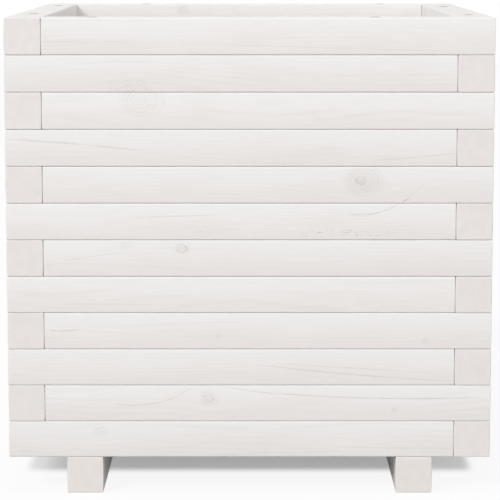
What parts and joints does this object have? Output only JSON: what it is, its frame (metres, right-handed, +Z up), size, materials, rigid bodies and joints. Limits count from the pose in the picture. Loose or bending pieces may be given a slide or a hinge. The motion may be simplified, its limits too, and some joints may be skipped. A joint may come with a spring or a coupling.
{
  "type": "planter",
  "caption": "Square floor planter of stacked wooden beams laid pinwheel fashion, on two foot rails, with a slatted draining floor and an open top.",
  "frame": {"origin": "on the ground, under the middle of the planter", "axes": "+Z up, front towards -Y, +X to the right of someone who faces the front; the foot rails run along Y and the floor slats along X"},
  "size_m": [0.395, 0.395, 0.39],
  "materials": {
    "wall_timber": "whitewashed planed pine",
    "foot_timber": "whitewashed planed pine",
    "floor_timber": "whitewashed planed pine",
    "screw_steel": "zinc-plated",
    "dowel_wood": "plain beech"
  },
  "bodies": {
    "root": {"front_beam_01": "wall_timber", "right_beam_01": "wall_timber", "back_beam_01": "wall_timber", "left_beam_01": "wall_timber", "front_beam_02": "wall_timber", "right_beam_02": "wall_timber", "back_beam_02": "wall_timber", "left_beam_02": "wall_timber", "front_beam_03": "wall_timber", "right_beam_03": "wall_timber", "back_beam_03": "wall_timber", "left_beam_03": "wall_timber", "front_beam_04": "wall_timber", "right_beam_04": "wall_timber", "back_beam_04": "wall_timber", "left_beam_04": "wall_timber", "front_beam_05": "wall_timber", "right_beam_05": "wall_timber", "back_beam_05": "wall_timber", "left_beam_05": "wall_timber", "front_beam_06": "wall_timber", "right_beam_06": "wall_timber", "back_beam_06": "wall_timber", "left_beam_06": "wall_timber", "front_beam_07": "wall_timber", "right_beam_07": "wall_timber", "back_beam_07": "wall_timber", "left_beam_07": "wall_timber", "front_beam_08": "wall_timber", "right_beam_08": "wall_timber", "back_beam_08": "wall_timber", "left_beam_08": "wall_timber", "front_beam_09": "wall_timber", "right_beam_09": "wall_timber", "back_beam_09": "wall_timber", "left_beam_09": "wall_timber", "front_beam_10": "wall_timber", "right_beam_10": "wall_timber", "back_beam_10": "wall_timber", "left_beam_10": "wall_timber", "front_beam_11": "wall_timber", "right_beam_11": "wall_timber", "back_beam_11": "wall_timber", "left_beam_11": "wall_timber", "front_beam_12": "wall_timber", "right_beam_12": "wall_timber", "back_beam_12": "wall_timber", "left_beam_12": "wall_timber", "left_foot": "foot_timber", "right_foot": "foot_timber", "floor_slat_1": "floor_timber", "floor_slat_2": "floor_timber", "floor_slat_3": "floor_timber", "floor_slat_4": "floor_timber", "floor_slat_5": "floor_timber", "wall_screws": "screw_steel", "foot_screws": "screw_steel", "slat_screws": "screw_steel", "corner_dowels": "dowel_wood"}
  },
  "joints": []
}
